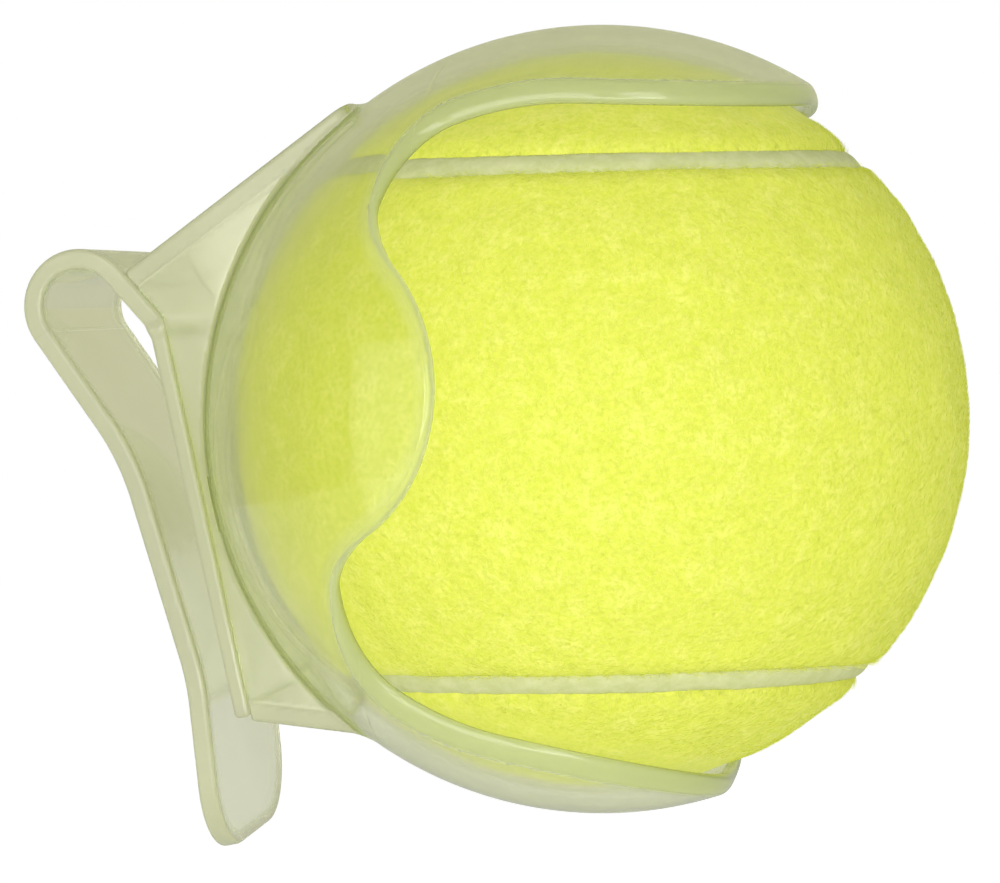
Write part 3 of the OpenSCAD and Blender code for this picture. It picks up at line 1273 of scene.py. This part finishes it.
@dataclass
class NapFibres:
    """A geometry node tree that stands fibres on felt."""

    name: str = "nap_fibres"
    least_size: float = 0.55
    most_size: float = 1.3
    inputs: dict[str, str] = field(default_factory=dict)

    def __post_init__(self) -> None:
        """Builds the tree."""
        self.group = bpy.data.node_groups.new(self.name, "GeometryNodeTree")
        self.tree = NodeTree(self.group)
        face = self.group.interface
        face.new_socket("Geometry", in_out="INPUT", socket_type="NodeSocketGeometry")
        for label, kind in (
            ("Density", "NodeSocketFloat"),
            ("Length", "NodeSocketFloat"),
            ("Thickness", "NodeSocketFloat"),
            ("Least lean", "NodeSocketFloat"),
            ("Most lean", "NodeSocketFloat"),
            ("Curl", "NodeSocketFloat"),
            ("Seed", "NodeSocketInt"),
            ("Material", "NodeSocketMaterial"),
        ):
            socket = face.new_socket(label, in_out="INPUT", socket_type=kind)
            self.inputs[label] = socket.identifier
        face.new_socket("Geometry", in_out="OUTPUT", socket_type="NodeSocketGeometry")
        self.wire()

    def random(self, low: Shade | float, high: Shade | float, seed: Shade) -> Shade:
        """A random number for each fibre."""
        sockets = {2: low, 3: high, "Seed": seed}
        made = self.tree.node("FunctionNodeRandomValue", {"data_type": "FLOAT"}, sockets)
        return self.tree.shade(made, 1)

    def fibre(self, given: bpy.types.Node) -> Shade:
        """One fibre: a thin three-sided cone that curls towards its tip.

        Args:
            given: The tree's inputs.

        Returns:
            The fibre's mesh.
        """
        tree = self.tree
        cone = tree.node(
            "GeometryNodeMeshCone",
            {"fill_type": "NONE"},
            {
                "Vertices": 3,
                "Side Segments": 2,
                "Radius Top": 0.0,
                "Radius Bottom": tree.shade(given, "Thickness"),
                "Depth": tree.shade(given, "Length"),
            },
        )
        place = tree.shade(tree.node("GeometryNodeInputPosition"))
        up = tree.shade(tree.node("ShaderNodeSeparateXYZ", None, {0: place}), "Z")
        shift = tree.node("ShaderNodeCombineXYZ", None, {"X": up * up * tree.shade(given, "Curl")})
        sockets = {"Geometry": tree.shade(cone, "Mesh"), "Offset": tree.shade(shift)}
        return tree.shade(tree.node("GeometryNodeSetPosition", None, sockets))

    def wire(self) -> None:
        """Wires the whole tree: scatter, turn, size, tone, realise and dress."""
        tree = self.tree
        given = tree.node("NodeGroupInput")
        seed = tree.shade(given, "Seed")
        named = {"data_type": "FLOAT"}
        nap = tree.shade(tree.node("GeometryNodeInputNamedAttribute", named, {"Name": NAP_NAME}))
        scatter = tree.node(
            "GeometryNodeDistributePointsOnFaces",
            {"distribute_method": "RANDOM"},
            {
                "Mesh": tree.shade(given, "Geometry"),
                "Density": tree.shade(given, "Density") * nap,
                "Seed": seed,
            },
        )
        lean = self.random(tree.shade(given, "Least lean"), tree.shade(given, "Most lean"), seed)
        spin = self.random(0.0, math.tau, seed)
        angles = tree.node("ShaderNodeCombineXYZ", None, {"Y": lean, "Z": spin})
        turn = tree.node("FunctionNodeEulerToRotation", None, {0: tree.shade(angles)})
        turned_about = tree.node(
            "FunctionNodeRotateRotation",
            {"rotation_space": "LOCAL"},
            {0: tree.shade(scatter, "Rotation"), 1: tree.shade(turn)},
        )
        stand = tree.node(
            "GeometryNodeInstanceOnPoints",
            None,
            {
                "Points": tree.shade(scatter, "Points"),
                "Instance": self.fibre(given),
                "Rotation": tree.shade(turned_about),
                "Scale": self.random(self.least_size, self.most_size, seed) * nap,
            },
        )
        tone = tree.node(
            "GeometryNodeStoreNamedAttribute",
            {"data_type": "FLOAT", "domain": "INSTANCE"},
            {
                "Geometry": tree.shade(stand),
                "Name": TONE_NAME,
                "Value": self.random(0.0, 1.0, seed),
            },
        )
        whole = tree.node("GeometryNodeRealizeInstances", None, {0: tree.shade(tone)})
        sockets = {"Geometry": tree.shade(whole), "Material": tree.shade(given, "Material")}
        dressed = tree.node("GeometryNodeSetMaterial", None, sockets)
        tree.node("NodeGroupOutput", None, {0: tree.shade(dressed)})

    def grow(
        self, name: str, ground: bpy.types.Object, values: dict[str, object]
    ) -> bpy.types.Object:
        """Grows fibres on a piece and returns them as a plain mesh.

        Args:
            name: The new piece's name.
            ground: The felt that they stand on.
            values: The tree's inputs by name.

        Returns:
            The fibres as a piece.
        """
        bed = as_object(name + "_bed", ground.data)
        modifier = bed.modifiers.new("nap", "NODES")
        modifier.node_group = self.group
        for label, value in values.items():
            modifier[self.inputs[label]] = value
        graph = bpy.context.evaluated_depsgraph_get()
        mesh = bpy.data.meshes.new_from_object(bed.evaluated_get(graph))
        mesh.name = name
        bpy.data.objects.remove(bed)
        return as_object(name, mesh)


class Stretch(Enum):
    """The two kinds of stretch that a felt panel has: its band and the lobes at its ends."""

    BAND = "band"
    LOBE = "lobe"


@dataclass
class TennisBall:
    """The ball: two felt panels on a rubber core, with a pale seam between them."""

    middle: np.ndarray
    core_r: float
    holder: Holder
    felt_t: float = 3.1
    # The seam
    seam_half_w: float = 0.78
    seam_depth: float = 0.9
    seam_lap: float = 0.45
    seam_crown: float = 0.25
    seam_grain: float = 0.02
    seam_grain_scale: float = 3.0
    seam_points: int = 9
    seam_floor_every: int = 4
    seam_columns: int = 150
    # The felt's edges and its uneven face
    edge_w: float = 2.4
    edge_drop: float = 1.1
    wave: float = 0.08
    wave_count: int = 14
    wave_spread: float = 9.0
    lump: float = 0.05
    lump_sink: float = 1.5
    lump_count: int = 40
    lump_spread: float = 22.0
    # How the ball lies, and how far the seam draws in at the panels' waists
    turn: float = math.radians(-80.0)
    lean: float = math.radians(-11.0)
    waist: float = math.radians(4.2)
    # The panels' meshes
    rows: int = 48
    row_power: float = 1.35
    inner_every: int = 6
    columns: int = 190
    lobe_columns: int = 140
    weld: float = 0.002
    # The nap
    nap_height: float = 0.3
    covered_nap: float = 0.3
    fringe: float = 0.5
    cover_margin: float = 0.8
    fibre_density: float = 3.2e6
    fibre_length: float = 1.0
    fibre_r: float = 0.024
    fibre_least_lean: float = math.radians(45.0)
    fibre_most_lean: float = math.radians(87.0)
    fibre_curl: float = 0.5
    batches: int = 4
    seed: int = 7
    seed_step: int = 10

    def __post_init__(self) -> None:
        """Draws the random waves of the surface and works out the ball's turn."""
        self.radius = self.core_r + self.felt_t
        draw = np.random.default_rng(self.seed)
        self.waves = draw.normal(size=(self.wave_count, 3)) * self.wave_spread
        self.wave_starts = draw.uniform(0.0, math.tau, self.wave_count)
        self.lumps = draw.normal(size=(self.lump_count, 3)) * self.lump_spread
        self.lump_starts = draw.uniform(0.0, math.tau, self.lump_count)
        self.in_part = turned(self.turn, "Z") @ turned(self.lean, "X")
        self.other_panel = turned(math.pi, "Z") @ turned(math.pi / 2.0, "X")

    def ripple(self, ways: Points, waves: np.ndarray, starts: np.ndarray) -> np.ndarray:
        """A smooth random value from about -1 to 1 on directions from the ball's middle."""
        return np.sin(ways @ waves.T + starts).sum(axis=1) * math.sqrt(2.0 / len(starts))

    def edge_angle(self, ways: Points) -> np.ndarray:
        """The angle from the seam's middle to the felt's edge, slightly wavy."""
        wavy = self.seam_half_w + self.wave * self.ripple(ways, self.waves, self.wave_starts)
        return wavy / self.radius

    def seam_angle(self, ahead: np.ndarray) -> np.ndarray:
        """The angle from a panel's end to the seam, which follows a leaning circle.

        Args:
            ahead: Cosine of the turn away from the seam's lean.

        Returns:
            The angle for each turn, 45 degrees where the arcs meet.
        """
        level = math.cos(self.waist)
        slope = math.sin(self.waist) * ahead
        half = math.cos(math.pi / 4.0) * level
        return np.arctan2(slope, level) + np.arccos(half / np.hypot(level, slope))

    def profile(
        self, shares: np.ndarray, ways: Points, reach: np.ndarray
    ) -> tuple[np.ndarray, np.ndarray]:
        """Angles and radii across the felt, from one edge to the panel's middle line.

        Args:
            shares: Places across, 0 at the edge and 1 at the middle line.
            ways: The seam's directions, one for each column.
            reach: Angle from the seam to the middle line, for each column.

        Returns:
            Angles from the seam and radii, as rows by columns.
        """
        edge = self.edge_angle(ways)
        angle = edge + (reach - edge) * shares[:, None]
        in_share = np.clip((angle - edge) * self.radius / self.edge_w, 0.0, 1.0)
        drop = self.edge_drop * (1.0 - np.sqrt(1.0 - (1.0 - in_share) ** 2))
        return angle, self.radius - self.nap_height - drop

    def band_way(self, polar: np.ndarray, around: np.ndarray) -> Points:
        """Directions on the panel's band: an angle from +Z and an angle round Z."""
        return np.stack(
            [np.sin(polar) * np.cos(around), np.sin(polar) * np.sin(around), np.cos(polar)], axis=-1
        )

    def lobe_way(self, polar: np.ndarray, around: np.ndarray, end: float) -> Points:
        """Directions on a panel's lobe: an angle from one end of Y and an angle round Y."""
        return np.stack(
            [np.sin(polar) * np.cos(around), end * np.cos(polar), np.sin(polar) * np.sin(around)],
            axis=-1,
        )

    def panel_grids(self) -> list[tuple[Points, np.ndarray, bool]]:
        """The panel's three stretches as grids of closed sections.

        Returns:
            Points as rows by columns, a 1 on rows of the napped face, and whether the rows close.
        """
        shares = np.linspace(0.0, 1.0, self.rows + 1) ** self.row_power
        inner = shares[:: self.inner_every]
        inside = self.radius - self.felt_t
        grids = []
        around = np.linspace(-math.pi / 2.0, math.pi / 2.0, self.columns + 1)
        halves = []
        seam = self.seam_angle(np.cos(around))
        reach = math.pi / 2.0 - seam
        for way in (1.0, -1.0):
            polar = math.pi / 2.0 - way * reach
            base = self.band_way(polar, around)
            angle, radii = self.profile(shares, base, reach)
            inner_angle, _ = self.profile(inner, base, reach)
            outside = self.band_way(polar + way * angle, around[None, :]) * radii[..., None]
            within = self.band_way(polar + way * inner_angle, around[None, :]) * inside
            halves.append((outside, within))
        (upper, upper_in), (lower, lower_in) = halves
        rows = [upper, lower[-2::-1], lower_in, upper_in[-2::-1]]
        napped = [np.ones(len(upper)), np.ones(len(lower) - 1), np.zeros(len(inner) * 2 - 1)]
        grids.append((np.concatenate(rows), np.concatenate(napped), True))
        around = np.linspace(math.pi / 2.0, math.pi * 1.5, self.lobe_columns + 1)
        seam = self.seam_angle(-np.cos(around))
        for end in (1.0, -1.0):
            base = self.lobe_way(seam, around, end)
            angle, radii = self.profile(shares, base, seam)
            inner_angle, _ = self.profile(inner, base, seam)
            outside = self.lobe_way(seam - angle, around[None, :], end) * radii[..., None]
            within = self.lobe_way(seam - inner_angle, around[None, :], end) * inside
            napped = np.concatenate([np.ones(len(outside)), np.zeros(len(within))])
            grids.append((np.concatenate([within[::-1], outside]), napped[::-1], False))
        return grids

    def in_place(self, points: Points, ball_turn: np.ndarray) -> Points:
        """Points of the ball's own frame, in the part's frame."""
        return points @ (self.in_part @ ball_turn).T + self.middle

    def nap_share(self, points: Points) -> np.ndarray:
        """How freely the nap stands: 1 in the open and less under the cup and its arms."""
        away = self.holder.inset(self.holder.in_cup(points))
        free = np.clip(away / self.cover_margin + 0.5, 0.0, 1.0)
        return self.covered_nap + (1.0 - self.covered_nap) * free

    def panel(self, name: str, ball_turn: np.ndarray, material: bpy.types.Material) -> bpy.types.Object:
        """One felt panel as a closed mesh.

        Args:
            name: The piece's name.
            ball_turn: The panel's turn in the ball's frame.
            material: Its finish.

        Returns:
            The piece.
        """
        shape = bmesh.new()
        nap = shape.verts.layers.float.new(NAP_NAME)
        for points, napped, closed in self.panel_grids():
            flat = points.reshape(-1, 3)
            size = np.linalg.norm(flat, axis=1)
            ways = flat / size[:, None]
            high = np.repeat(napped, points.shape[1])
            above = size - self.radius + self.nap_height + self.edge_drop
            near_top = np.clip(above / self.edge_drop, 0.0, 1.0)
            rough = self.lump * self.ripple(ways, self.lumps, self.lump_starts)
            sunk = high * near_top * (self.lump * self.lump_sink - rough)
            placed = self.in_place(ways * (size - sunk)[:, None], ball_turn)
            share = self.nap_share(placed) * high * (1.0 + self.fringe * (1.0 - near_top))
            verts = add_grid(shape, (placed * MM).reshape(points.shape), (closed, False))
            for vert, value in zip(verts, share):
                vert[nap] = value
        bmesh.ops.remove_doubles(shape, verts=shape.verts[:], dist=self.weld * MM)
        return smooth_piece(name, shape, material)

    def seam_places(self) -> list[tuple[Stretch, float, float]]:
        """Places along the seam: the stretch that it bounds, its side and the angle round it."""
        quarter = math.pi / 2.0
        places = []
        for start, end, stretch, way in (
            (-quarter, quarter, Stretch.BAND, 1.0),
            (quarter, 3.0 * quarter, Stretch.LOBE, 1.0),
            (quarter, -quarter, Stretch.BAND, -1.0),
            (3.0 * quarter, quarter, Stretch.LOBE, -1.0),
        ):
            turns = np.linspace(start, end, self.seam_columns + 1)[:-1]
            places.extend((stretch, way, around) for around in turns)
        return places

    def seam(self, material: bpy.types.Material) -> bpy.types.Object:
        """The seam as one closed band that lies between and just under the felt's edges."""
        half = (self.seam_half_w + self.seam_lap) / self.radius
        offs = np.linspace(-half, half, self.seam_points)
        crown = self.radius - self.seam_depth + self.seam_crown * (1.0 - (offs / half) ** 2)
        floor = self.radius - self.felt_t
        offs = np.concatenate([offs, offs[:: -self.seam_floor_every]])
        radii = np.concatenate([crown, np.full(len(offs) - len(crown), floor)])
        sections = []
        for stretch, way, around in self.seam_places():
            turns = np.full_like(offs, around)
            if stretch is Stretch.BAND:
                reach = math.pi / 2.0 - self.seam_angle(np.cos(around)) - offs
                ways = self.band_way(math.pi / 2.0 - way * reach, turns)
            else:
                ways = self.lobe_way(self.seam_angle(-np.cos(around)) - offs, turns, way)
            grain = self.ripple(ways * self.seam_grain_scale, self.lumps, self.lump_starts)
            rough = np.where(radii > floor, self.seam_grain * grain, 0.0)
            sections.append(ways * (radii + rough)[:, None])
        points = self.in_place(np.concatenate(sections), np.eye(3)) * MM
        shape = bmesh.new()
        add_grid(shape, points.reshape(len(sections), len(offs), 3), (True, True))
        return smooth_piece("seam", shape, material)

    def build(self) -> None:
        """Makes the felt, the nap and the seam, and dresses the core."""
        felt = YELLOW_FELT.make()
        fibre = YELLOW_FIBRE.make()
        nap = NapFibres()
        panels = (
            ("felt_front", "felt_panel_front", np.eye(3)),
            ("felt_rear", "felt_panel_rear", self.other_panel),
        )
        for number, (name, node, ball_turn) in enumerate(panels):
            panel = self.panel(name, ball_turn, felt)
            for batch in range(self.batches):
                values = {
                    "Density": self.fibre_density,
                    "Length": self.fibre_length * MM,
                    "Thickness": self.fibre_r * MM,
                    "Least lean": self.fibre_least_lean,
                    "Most lean": self.fibre_most_lean,
                    "Curl": self.fibre_curl / MM,
                    "Seed": self.seed + self.seed_step * number + batch,
                    "Material": fibre,
                }
                fibres = nap.grow(f"{name}_nap_{batch + 1}", panel, values)
                finish_piece(fibres, (), Body.BALL)
            finish_piece(panel, (node,), Body.BALL)
        finish_piece(self.seam(PALE_SEAM.make()), ("seam_cement",), Body.BALL)
        rubber, cement = CORE_RUBBER.make(), CORE_CEMENT.make()
        for node, material in zip(CORE_NODES, (rubber, rubber, cement)):
            dress_node(node, material)


def dress_node(node: str, material: bpy.types.Material) -> None:
    """Gives a CAD node a finish."""
    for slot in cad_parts[node].material_slots:
        slot.material = material
    LOG.info("%s: dressed", node)


@dataclass(frozen=True)
class Lamp:
    """A soft lamp that faces the ball: its place and size in metres, and its power in watts."""

    name: str
    place: tuple[float, float, float]
    size: tuple[float, float]
    power: float


LAMPS = (
    Lamp("bank_left", (-0.05, -0.55, 0.06), (0.20, 0.30), 0.66),
    Lamp("bank_right", (0.30, -0.50, 0.06), (0.20, 0.30), 0.70),
    Lamp("strip_left", (-0.31, -0.29, 0.02), (0.20, 0.46), 0.22),
    Lamp("strip_low", (0.14, -0.36, -0.055), (0.30, 0.03), 0.22),
)


@dataclass
class Studio:
    """A plain white studio: floor, background, soft lamps and the camera."""

    ball_middle: Vector
    camera_place: Vector = Vector((0.0702, -0.2226, 0.0047))
    camera_right: Vector = Vector((0.95995, 0.18205, -0.21298))
    camera_up: Vector = Vector((0.20521, 0.06073, 0.97684))
    focal_px: float = 2475.0
    image_w: float = 1000.0
    sensor_mm: float = 36.0
    clip_start: float = 0.01
    floor_drop: float = 0.078
    floor_half: float = 2.0
    ambient: float = 0.5
    mirror_front: float = 0.15
    mirror_back: float = 1.05
    mirror_levels: Range = (-0.1, 0.9)
    floor_glow: float = 0.65
    floor_grey: float = 0.75
    floor_bounce: float = 0.45
    seen_through: Colour = (0.58, 0.575, 0.42)

    def build(self) -> None:
        """Makes the whole studio."""
        bpy.context.scene.view_settings.view_transform = "Standard"
        self.make_world()
        self.make_floor()
        self.make_camera()
        for lamp in LAMPS:
            self.hang(lamp)

    def make_world(self) -> None:
        """White where it is seen, and a soft even light elsewhere."""
        world = bpy.data.worlds.new("studio")
        bpy.context.scene.world = world
        tree = ShaderTree(world)
        light = tree.node("ShaderNodeLightPath")
        through = tree.shade(light, "Is Transmission Ray")
        seen = tree.shade(light, "Is Camera Ray") | through
        way = tree.shade(tree.node("ShaderNodeTexCoord"), "Generated")
        ahead = tree.shade(tree.node("ShaderNodeSeparateXYZ", None, {0: way}), "Y")
        behind = tree.ramp(ahead, *self.mirror_levels)
        mirror = behind * (self.mirror_back - self.mirror_front) + self.mirror_front
        glossy = tree.shade(light, "Is Glossy Ray")
        level = (seen | glossy * mirror) | (1.0 - glossy) * self.ambient
        colour = tree.mix(through | glossy, WHITE, self.seen_through)
        ground = tree.node("ShaderNodeBackground", None, {"Color": colour, "Strength": level})
        tree.surface(tree.shade(ground), "ShaderNodeOutputWorld")

    def make_floor(self) -> None:
        """A pale floor that keeps the shadow."""
        half = self.floor_half
        low = self.ball_middle.z - self.floor_drop
        corners = [(-half, -half, low), (half, -half, low), (half, half, low), (-half, half, low)]
        mesh = bpy.data.meshes.new("floor")
        mesh.from_pydata(corners, [], [(0, 1, 2, 3)])
        material = bpy.data.materials.new("pale_floor")
        tree = ShaderTree(material)
        light = tree.node("ShaderNodeLightPath")
        through = tree.shade(light, "Is Transmission Ray")
        seen = tree.shade(light, "Is Camera Ray") | through
        seen = seen | tree.shade(light, "Is Glossy Ray") * self.mirror_front
        seen = seen | tree.shade(light, "Is Diffuse Ray") * self.floor_bounce
        colour = tree.mix(through, WHITE, self.seen_through)
        grey = (self.floor_grey, self.floor_grey, self.floor_grey, 1.0)
        matt = tree.node("ShaderNodeBsdfDiffuse", None, {"Color": grey})
        sockets = {"Color": colour, "Strength": seen * self.floor_glow}
        glow = tree.node("ShaderNodeEmission", None, sockets)
        both = tree.node("ShaderNodeAddShader", None, {0: tree.shade(matt), 1: tree.shade(glow)})
        tree.surface(tree.shade(both))
        mesh.materials.append(material)
        as_object("floor", mesh)

    def make_camera(self) -> None:
        """The camera at the photograph's viewing angle."""
        lens = bpy.data.cameras.new("camera")
        lens.sensor_fit = "HORIZONTAL"
        lens.sensor_width = self.sensor_mm
        lens.lens = self.focal_px / self.image_w * self.sensor_mm
        lens.clip_start = self.clip_start
        made = bpy.data.objects.new("camera", lens)
        bpy.context.scene.collection.objects.link(made)
        back = self.camera_right.cross(self.camera_up)
        turn = Matrix((self.camera_right, self.camera_up, back)).transposed()
        made.matrix_world = Matrix.Translation(self.camera_place) @ turn.to_4x4()
        bpy.context.scene.camera = made

    def hang(self, lamp: Lamp) -> None:
        """Hangs one lamp and turns it to the ball."""
        light = bpy.data.lights.new(lamp.name, "AREA")
        light.shape = "RECTANGLE"
        light.size, light.size_y = lamp.size
        light.energy = lamp.power
        made = bpy.data.objects.new(lamp.name, light)
        bpy.context.scene.collection.objects.link(made)
        made.location = lamp.place
        way = self.ball_middle - Vector(lamp.place)
        made.rotation_euler = way.to_track_quat("-Z", "Y").to_euler()


def main() -> None:
    """Builds the studio, the holder and the ball."""
    logging.basicConfig(level=logging.INFO, format="%(name)s: %(message)s")
    boxes = [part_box(node) for node in CORE_NODES]
    low = np.min([box[0] for box in boxes], axis=0)
    high = np.max([box[1] for box in boxes], axis=0)
    middle = (low + high) / 2.0 / MM
    core_r = float((high - low).max()) / 2.0 / MM
    Studio(Vector(middle) * MM).build()
    holder = Holder(middle)
    plastic = PLASTIC.make()
    holder.build_cup(plastic)
    holder.build_clip(plastic)
    TennisBall(middle, core_r, holder).build()


if __name__ == "__main__":
    main()
